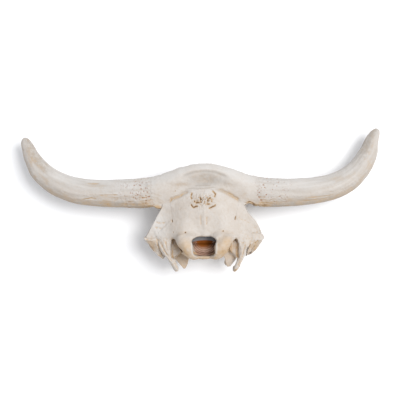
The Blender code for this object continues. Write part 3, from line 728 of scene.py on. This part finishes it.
# the far third, grey and mottled on its inner side, and the tan under the root
tip_third = core * step(from_root, 170, 215)
inner_side = step(-core_grain[:, 1], -6, 6)
slimmer = (1 - inner_side) * step(points[:, 1], 42, 66) * step(108 - points[:, 1], 0, 22)
points[:, 0] += LEFT_SLIMMED * (slimmer * (points[:, 0] < -280))
blotches = step(lumps(7, 3, 17.0, tip_third), -0.25, 0.35)
mottles = step(lumps(2.2, 2, 18.0, tip_third), -0.2, 0.3)
grey_and_shade += tip_third * inner_side * (0.25 + 0.45 * blotches + 0.45 * mottles)
stain_and_shade += 0.14 * tip_third * inner_side * (blotches + 0.8 * mottles)
stain_and_shade += 0.20 * tip_third * (1 - inner_side) * step(lumps(12, 2, 12.0, tip_third), -0.1, 0.4)
under_root = core * (1 - step(from_root, 0, 28)) * step(8 - points[:, 1], 0, 16)
stain_and_shade += 0.45 * under_root * (0.5 + 0.6 * lumps(6, 2, 5.0, under_root))

# --------------------------------------------------
# The colours of the whole skull, worked out from the carved shape: brown where soil lay in hollows, and
# painted shade there too; tan and greyish painted shade on the sides that face down the head; painted light
# on the sides that face up it and on the left mastoid; and washed out on the bullae and the flakes.
WASHED = (((-90, -84), (16, 20), 0.55), ((90, -97), (12, 14), 0.45))
LIP_MOST = 0.78
BULLA_MOST = (0.46, 0.36)
LIT_MASTOID_AT, LIT_MASTOID_REACH = (-76, -46), (30, 44)
DARKEST = 1.5  # of the stain, where the other layers end at 1


def held(area, most):
    """Takes the stain down to a most in an area."""
    stain_and_shade[:] -= area * np.maximum(0, stain_and_shade - most)


face_out()
smoothed = points.copy()
even_out(smoothed, 1.0, 0.9, 12)
fine_hollow = np.einsum("ij,ij->i", smoothed - points, normals)
even_out(smoothed, 1.0, 0.9, 60)
broad_hollow = np.einsum("ij,ij->i", smoothed - points, normals)
# darker in the skin's hollows: soil, and painted shade
hollow = 0.5 * step(fine_hollow, 0.08, 0.7) + 0.2 * step(broad_hollow, 0.8, 3.0)
stain_and_shade += hollow * (1 - 0.75 * arch)
# paler on the sides of the horns and the arch that face up the head: painted light
lit_upper_sides = np.maximum(core, 0.8 * arch) * step(normals[:, 1], -0.35, 0.6)
bleach_and_light += lit_upper_sides * (0.75 + 0.3 * lumps(18, 2, 27.0))
bleach_and_light *= 1 - 0.7 * tip_third * inner_side
bleach_and_light += 0.7 * pale_rims
# the left mastoid painted paler, where the lamp on the right leaves it darker: painted light
bleach_and_light += 0.7 * spot(LIT_MASTOID_AT, LIT_MASTOID_REACH)
# tan on the sides facing down the head, and greyish on the horns there: painted shade
shaded_low_sides = step(-normals[:, 1], 0.15, 0.9)
stain_and_shade += shaded_low_sides * (0.32 + 0.04 * core + 0.3 * lumps(12, 2, 40.0))
grey_and_shade += 0.6 * shaded_low_sides * core
stain_and_shade += 0.10 * step(lumps(16, 3, 3.0), -0.1, 0.6)
held(bullae, np.where(points[:, 0] < 0, *BULLA_MOST))
for at, reach, most in WASHED:
    held(np.minimum(1, 2 * spot(at, reach)) * (points[:, 2] < 82), most)
held(np.minimum(1, 1.5 * spot((8.5, -107), (40, 14))) * step(points[:, 2], 58, 74), LIP_MOST)

layers = {"stain_and_shade": stain_and_shade, "grey_and_shade": grey_and_shade, "pore": pore, "bleach_and_light": bleach_and_light, "inside": inside}
for layer, values in layers.items():
    attribute = skull.data.attributes.new(layer, "FLOAT", "POINT")
    values = np.clip(values, 0, DARKEST if layer == "stain_and_shade" else 1)
    attribute.data.foreach_set("value", values.astype(np.float32))

# --------------------------------------------------
# The sawn face. The front of the skull was sawn off flat, through the walls of the braincase and the air
# cells of the frontal bone. The cut shows spongy bone, greyer and duller than the weathered skin.
IOR = 1.5  # dry bone's, and paper's
RGBA = {"data_type": "RGBA"}
SHARE, UNDER, OVER, RESULT = 0, 6, 7, 2  # the sockets of a mix of colours


def linear(code):
    """A colour from its sRGB hex code."""
    parts = [int(code[i : i + 2], 16) / 255 for i in (1, 3, 5)]
    return [p / 12.92 if p <= 0.04045 else ((p + 0.055) / 1.055) ** 2.4 for p in parts] + [1.0]


def add(tree, kind, settings, inputs):
    """Adds a node with its settings and inputs, each a value or another node's output."""
    made = tree.nodes.new("ShaderNode" + kind)
    for name, value in settings.items():
        setattr(made, name, value)
    for name, value in inputs.items():
        if isinstance(value, bpy.types.NodeSocket):
            tree.links.new(value, made.inputs[name])
        else:
            made.inputs[name].default_value = value
    return made


def coated(tree, under, coats):
    """A colour with thin coats of others laid over it, each a share of the surface and a hex code."""
    for share, code in coats:
        under = add(tree, "Mix", RGBA, {SHARE: share, UNDER: under, OVER: linear(code)}).outputs[RESULT]
    return under


def started(name, roughness):
    """A new material, its nodes and its shader."""
    material = bpy.data.materials.new(name)
    material.use_nodes = True
    surface = material.node_tree.nodes["Principled BSDF"]
    surface.inputs["Roughness"].default_value = roughness
    surface.inputs["IOR"].default_value = IOR
    return material, material.node_tree, surface


saw = bmesh.new()
bmesh.ops.create_cube(saw, size=1, matrix=Matrix.LocRotScale((0, 0, -0.05), None, (1, 1, 0.1)))
carve(skull, linked("saw", saw))

# Sawn spongy bone: the saw opened cells of about 1.5 mm, dark between pale walls, with a dull, crumbly face.
spongy, tree, shader = started("sawn_spongy_bone", 0.88)
place = add(tree, "TexCoord", {}, {}).outputs["Object"]
# the cells' walls waver by up to 1.2 mm, through a mix of vectors with its own sockets
crumbled = add(tree, "TexNoise", {}, {"Vector": place, "Scale": 400.0, "Detail": 3.0}).outputs["Color"]
crumbled = add(tree, "Mix", {"data_type": "VECTOR"}, {0: 0.0012, 4: place, 5: crumbled}).outputs[1]
cells = add(tree, "TexVoronoi", {"feature": "DISTANCE_TO_EDGE"}, {"Vector": crumbled, "Scale": 650.0})
walls = add(tree, "MapRange", {}, {"Value": cells.outputs["Distance"], "From Min": 0.06, "From Max": 0.30})
patches = add(tree, "TexNoise", {}, {"Vector": place, "Scale": 60.0, "Detail": 4.0})
patches = add(tree, "MapRange", {}, {"Value": patches.outputs["Fac"], "From Min": 0.45, "From Max": 0.65})
coats = ((walls.outputs["Result"], "#7C6A54"), (patches.outputs["Result"], "#AF9F88"))
tree.links.new(coated(tree, linear("#BDAF9A"), coats), shader.inputs["Base Color"])
bump = {"Strength": 0.6, "Distance": 0.0008, "Height": walls.outputs["Result"]}
bump = add(tree, "Bump", {"invert": True}, bump)
tree.links.new(bump.outputs["Normal"], shader.inputs["Normal"])

# --------------------------------------------------
# The horn cores parted from the frontal bone at their roots. A bone leaves the skull along its suture, a
# hairline that wanders a little, because the two edges of bone grew into each other. The block that takes
# it off holds all of it, and its walls lie on the suture.
HORN_LOW = -27.7
HORN_REACH, HORN_TOP, HORN_DEEP = 240, 160, 120
BELOW = -8  # a depth under the sawn face
HAIRLINE = 0.12 * MM
SUTURE_GRAIN = 2.5 * MM
SUTURE_WANDER = 0.6 * MM
SUTURE_WAVE = 6.0 * MM
CRISP = math.radians(70)
noise.seed_set(1)  # so that the seams wander the same way in each run


def block(one, other):
    """A closed block between two corners in millimetres."""
    made = bmesh.new()
    low, high = Vector(np.min((one, other), axis=0)) * MM, Vector(np.max((one, other), axis=0)) * MM
    sized = Matrix.Translation((low + high) / 2) @ Matrix.Diagonal((*(high - low), 1))
    bmesh.ops.create_cube(made, size=1, matrix=sized)
    return made


def part_off(name, made):
    """Takes the bone inside a block off the skull, along the block's walls, and returns it."""
    tool = linked("tool", made)
    grain = tool.modifiers.new("grain", "REMESH")
    grain.mode = "VOXEL"
    grain.voxel_size = SUTURE_GRAIN
    settle(tool)
    places = [vertex.co.copy() for vertex in tool.data.vertices]
    places = np.array([place + noise.noise_vector(place / SUTURE_WAVE) * SUTURE_WANDER for place in places])
    tool.data.vertices.foreach_set("co", places.ravel())
    tool.data.update()
    outward = np.empty(places.size)
    tool.data.vertex_normals.foreach_get("vector", outward)
    bone = skull.copy()
    bone.name = name
    bone.data = skull.data.copy()
    bpy.context.scene.collection.objects.link(bone)
    keep = bone.modifiers.new("keep", "BOOLEAN")
    keep.operation = "INTERSECT"
    keep.solver = "MANIFOLD"
    keep.object = tool
    settle(bone)
    tool.data.vertices.foreach_set("co", places.ravel() + outward * HAIRLINE)
    tool.data.update()
    carve(skull, tool)
    return bone


def finish(bone, node, material):
    """Gives a bone its edges and its materials, and lets it stand for the frame's node."""
    mesh = bone.data
    mesh.name = bone.name
    mesh.validate()  # a cut can leave a face folded flat
    mesh.materials.clear()
    mesh.materials.append(material)
    mesh.materials.append(spongy)
    centres = np.empty(len(mesh.polygons) * 3)
    mesh.polygons.foreach_get("center", centres)
    facing = np.empty(len(mesh.polygons) * 3)
    mesh.polygons.foreach_get("normal", facing)
    sawn_faces = (centres[2::3] < 0.05 * MM) & (facing[2::3] < -0.9)
    mesh.polygons.foreach_set("material_index", sawn_faces.astype(np.int32))
    mesh.shade_smooth()
    mesh.set_sharp_from_angle(angle=CRISP)
    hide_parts(node)
    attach(bone, "root")


def bone_material(name, grain, relief, roughness):
    """Dry bone, with a grain in millimetres, coated by the skin's painted layers."""
    material, tree, shader = started(name, roughness)
    place = add(tree, "TexCoord", {}, {}).outputs["Object"]
    painted = {}
    for layer in layers:
        painted[layer] = add(tree, "Attribute", {"attribute_name": layer}, {}).outputs["Fac"]
    cloud = {"Vector": place, "Scale": 55.0, "Detail": 6.0, "Roughness": 0.6}
    cloud = add(tree, "TexNoise", {}, cloud).outputs["Fac"]
    mottle = {"Vector": place, "Scale": 190.0, "Detail": 5.0, "Roughness": 0.65}
    mottle = add(tree, "TexNoise", {}, mottle).outputs["Fac"]
    shares = []
    for value, least, most in (
        (cloud, 0.35, 0.7), (mottle, 0.50, 0.85), (painted["stain_and_shade"], 0.1, 0.8), (painted["stain_and_shade"], 0.8, 1.4),
    ):
        share = add(tree, "MapRange", {}, {"Value": value, "From Min": least, "From Max": most})
        shares.append(share.outputs["Result"])
    cloudy, mottled, tan, brown = shares
    # the paler coat carries painted light, and the greyish, tan and brown coats carry painted shade as well
    # as the bone's own colours
    colour = coated(tree, linear("#C2BBB3"), (
        (cloudy, "#BAB0A5"),
        (mottled, "#B5A696"),
        (painted["bleach_and_light"], "#C6C3BF"),
        (painted["grey_and_shade"], "#A39C94"),
        (tan, "#B79B78"),
        (brown, "#64482F"),
        (painted["pore"], "#8A5536"),
    ))

    # inside the braincase: a striped floor, orange brown beyond it, and in the deep a pale bluish tint:
    # painted shade, standing in for the floor seen through the braincase
    centred = {"Vector": place, "Location": (-MIDLINE * MM, 0.074, 0.0)}
    centred = add(tree, "Mapping", {"vector_type": "POINT"}, centred).outputs["Vector"]
    stripes = {"Vector": centred, "Scale": 95.0, "Distortion": 3.5, "Detail": 3.0, "Detail Scale": 2.0}
    stripes = add(tree, "TexWave", {"wave_type": "RINGS", "rings_direction": "Z"}, stripes).outputs["Fac"]
    flat = add(tree, "VectorMath", {"operation": "MULTIPLY"}, {0: centred, 1: (0.75, 1.0, 0.0)})
    reach = add(tree, "VectorMath", {"operation": "LENGTH"}, {0: flat.outputs["Vector"]}).outputs["Value"]
    reach = add(tree, "Math", {"operation": "MULTIPLY_ADD"}, {0: cloud, 1: 0.008, 2: reach}).outputs["Value"]
    orange = add(tree, "MapRange", {}, {"Value": reach, "From Min": 0.022, "From Max": 0.015})
    # the arc at the top of the foramen, painted pale bluish: painted shade of the floor seen through
    arc = {"Vector": place, "Location": (-MIDLINE * MM, 0.092, 0.0)}
    arc = add(tree, "Mapping", {"vector_type": "POINT"}, arc).outputs["Vector"]
    arc = add(tree, "VectorMath", {"operation": "MULTIPLY"}, {0: arc, 1: (0.45, 1.0, 0.0)}).outputs["Vector"]
    arc = add(tree, "VectorMath", {"operation": "LENGTH"}, {0: arc}).outputs["Value"]
    deep = add(tree, "MapRange", {}, {"Value": arc, "From Min": 0.0160, "From Max": 0.0175})
    height = add(tree, "SeparateXYZ", {}, {"Vector": place}).outputs["Y"]
    above = add(tree, "MapRange", {}, {"Value": height, "From Min": -0.084, "From Max": -0.080})
    deep = {0: deep.outputs["Result"], 1: above.outputs["Result"]}
    deep = add(tree, "Math", {"operation": "MULTIPLY"}, deep).outputs["Value"]
    floor = coated(tree, linear("#94725F"), (
        (stripes, "#C4A592"), (orange.outputs["Result"], "#A85C08"), (deep, "#B4BAC0"),
    ))
    colour = add(tree, "Mix", RGBA, {SHARE: painted["inside"], UNDER: colour, OVER: floor}).outputs[RESULT]
    tree.links.new(colour, shader.inputs["Base Color"])

    fine = {"Vector": place, "Scale": 1 / (grain * MM), "Detail": 3.0, "Roughness": 0.6}
    fine = add(tree, "TexNoise", {}, fine).outputs["Fac"]
    bump = add(tree, "Bump", {}, {"Strength": relief, "Distance": 0.0006, "Height": fine})
    tree.links.new(bump.outputs["Normal"], shader.inputs["Normal"])
    return material


# Porous horn-core bone: full of vessel pores, so it is the dullest and the roughest.
horn_bone = bone_material("porous_horn_core_bone", 1.1, 0.45, 0.78)
for side, where in SIDES:
    near = MIDLINE + side * HORN_ROOT
    horn = block((near, HORN_LOW, BELOW), (near + side * HORN_REACH, HORN_TOP, HORN_DEEP))
    finish(part_off(f"horn_{where}", horn), f"horn_core_{where}", horn_bone)

# --------------------------------------------------
# The frontal bone parted from the occiput along the nuchal line. It is dense bone over spongy bone, and
# it was knitted to the bones below it by a suture along the roots of the neck's muscles.
NUCHAL_LINE = ((0, 19.8), (30, 14.8), (56, 3.3), (69, -7.7), (78, -16.7), (120, -33.7))
FRONTAL_TOP = 95
FRONTAL_DEEP = 140

# Weathered cranial bone: dense outer bone dried by years outdoors, dull, cloudy and lightly pitted.
cranial = bone_material("weathered_cranial_bone", 1.4, 0.35, 0.72)
outline = [(MIDLINE + x, y) for x, y in NUCHAL_LINE]
outline += [(MIDLINE + side * NUCHAL_LINE[-1][0], FRONTAL_TOP) for side in (1, -1)]
outline += [(MIDLINE - x, y) for x, y in NUCHAL_LINE[:0:-1]]
finish(part_off("frontal", drawn(outline, BELOW, FRONTAL_DEEP)), "frontal_bone", cranial)

# --------------------------------------------------
# The tympanic bullae parted from the base of the skull. Their walls are as thin as eggshell, and each was
# held to the temporal bone by a rough seam round its neck.
BULLA_SEAM = ((23.5, -107.7), (32.0, -102.7), (44.0, -97.7), (68.0, -96.2))
BULLA_DEPTHS = (26, 69.5)
OUTSIDE = 150  # past the skull on every side

# Thin ear bone: eggshell thin and dense, a little smoother than the rest of the skull.
ear_bone = bone_material("thin_ear_bone", 1.2, 0.30, 0.68)
for side, where in SIDES:
    outline = [(MIDLINE + LEAN + side * x, y) for x, y in BULLA_SEAM]
    outline += [(outline[-1][0], -OUTSIDE), (outline[0][0] - side * 6, -OUTSIDE)]
    bulla = part_off(f"bulla_{where}", drawn(outline, *BULLA_DEPTHS))
    finish(bulla, f"tympanic_bulla_{where}", ear_bone)

# --------------------------------------------------
# The paracondylar processes, the two spurs that the muscles of the jaw and neck pulled on. They are thin
# blades of cranial bone that grew down from the occipital bone.
SPUR_INNER, SPUR_OUTER, SPUR_TOP = 49.0, 90, -91.2
SPUR_DEPTHS = (70.2, 105)

for side, where in SIDES:
    near, far = (MIDLINE + LEAN + side * x for x in (SPUR_INNER, SPUR_OUTER))
    spur = block((near, -OUTSIDE, SPUR_DEPTHS[0]), (far, SPUR_TOP, SPUR_DEPTHS[1]))
    finish(part_off(f"spur_{where}", spur), f"paracondylar_process_{where}", cranial)

# --------------------------------------------------
# The occipital condyles, the rounded joints that the skull nodded on. They are dense bone, and each grew
# onto the occipital bone beside the foramen, along a slanting seam.
CONDYLE_LOW, CONDYLE_HIGH = (16.5, -53.0, 0), (57, 20, 45)
CONDYLE_AT = (MIDLINE, -61.7, 104)
CONDYLE_TILT = math.radians(17.7)

# Joint bone: the gristle that covered it kept it smooth, so it has the softest sheen of all.
joint_bone = bone_material("smooth_joint_bone", 1.0, 0.15, 0.62)
seat = Matrix.Translation([value * MM for value in CONDYLE_AT]) @ Matrix.Rotation(CONDYLE_TILT, 4, "X")
for side, where in SIDES:
    condyle = block(*((side * x, y, z) for x, y, z in (CONDYLE_LOW, CONDYLE_HIGH)))
    bmesh.ops.transform(condyle, matrix=seat, verts=condyle.verts[:])
    finish(part_off(f"condyle_{where}", condyle), f"occipital_condyle_{where}", joint_bone)

# --------------------------------------------------
# The temporal bones, the sides of the skull round the ears, of cranial bone. Each overlaps its neighbours
# like a scale, so its seam steps inwards below the shield, and moves in and out down the head.
TEMPORAL_SEAM = (
    # how high up, and how far across behind the step and before it
    (20, 66, 70), (-33.7, 57, 54), (-51.7, 74, 50), (-67.7, 90, 49), (-85.7, 90, 47), (-OUTSIDE, 90, 60),
)
STEP_AT = 62.0
TEMPORAL_DEEP = 130

for side, where in SIDES:
    made = bmesh.new()
    ring = []
    for y, behind_step, before_step in TEMPORAL_SEAM:
        section = (
            (behind_step, TEMPORAL_DEEP), (behind_step, STEP_AT), (before_step, STEP_AT),
            (before_step, BELOW), (OUTSIDE, BELOW), (OUTSIDE, TEMPORAL_DEEP),
        )
        corners = [Vector((MIDLINE + side * x, y, z)) * MM for x, z in section]
        if not ring:
            face = made.faces.new([made.verts.new(corner) for corner in corners])
            ring = [loop.vert for loop in face.loops]
            continue
        grown = bmesh.ops.extrude_face_region(made, geom=[face])["geom"]
        fresh = [item for item in grown if isinstance(item, bmesh.types.BMVert)]
        starts = [vertex.co.copy() for vertex in ring]
        ring = [min(fresh, key=lambda vertex: (vertex.co - start).length) for start in starts]
        for vertex, corner in zip(ring, corners):
            vertex.co = corner
        face = [item for item in grown if isinstance(item, bmesh.types.BMFace)][0]
    bmesh.ops.recalc_face_normals(made, faces=made.faces[:])
    finish(part_off(f"temporal_{where}", made), f"temporal_bone_{where}", cranial)

# --------------------------------------------------
# The shield of the occipital bone, the sphenoid bone under the braincase, and the two parietal bones at
# its sides. They are cranial bone, and the right parietal bone is what is left at the end.
REST = (
    # piece, node, and two corners of its block
    ("occipital", "occipital_bone", (-OUTSIDE, -OUTSIDE, STEP_AT), (OUTSIDE, 60, 140)),
    ("sphenoid", "sphenoid_bone", (-OUTSIDE, -OUTSIDE, BELOW), (OUTSIDE, -73.7, 80)),
    ("parietal_left", "parietal_bone_left", (-OUTSIDE, -80, BELOW), (MIDLINE, 60, 80)),
)

for name, node, low, high in REST:
    finish(part_off(name, block(low, high)), node, cranial)
skull.name = "parietal_right"
finish(skull, "parietal_bone_right", cranial)

# --------------------------------------------------
# The place. The skull lies on matt white paper under a large soft lamp and a pale sky of light, and the
# camera looks straight down on it.
LAMP_AT = (2.20, 0.92, 4.96)
CAMERA_AT = (0.0004, -0.0017, 2.1)

ground = bmesh.new()
bmesh.ops.create_grid(ground, x_segments=1, y_segments=1, size=6)
floor = linked("floor", ground)
# White paper: matt and even, so it shows only the skull's shadows.
paper, _, sheet_shader = started("white_paper", 0.9)
sheet_shader.inputs["Base Color"].default_value = linear("#F6F6F6")
floor.data.materials.append(paper)

world = bpy.data.worlds.new("studio")
world.use_nodes = True
light = world.node_tree.nodes["Background"]
light.inputs["Color"].default_value = linear("#F8FAFF")
light.inputs["Strength"].default_value = 0.71
bpy.context.scene.world = world
bpy.context.scene.view_settings.view_transform = "Standard"

key = bpy.data.lights.new("key", "AREA")
key.size = 2.6
key.energy = 250.0
lamp = bpy.data.objects.new("key", key)
lamp.location = LAMP_AT
lamp.rotation_euler = (-Vector(LAMP_AT)).to_track_quat("-Z", "Y").to_euler()
bpy.context.scene.collection.objects.link(lamp)

camera = bpy.data.cameras.new("camera")
camera.lens = 100
camera.sensor_width = 36
viewpoint = bpy.data.objects.new("camera", camera)
viewpoint.location = CAMERA_AT
bpy.context.scene.collection.objects.link(viewpoint)
bpy.context.scene.camera = viewpoint
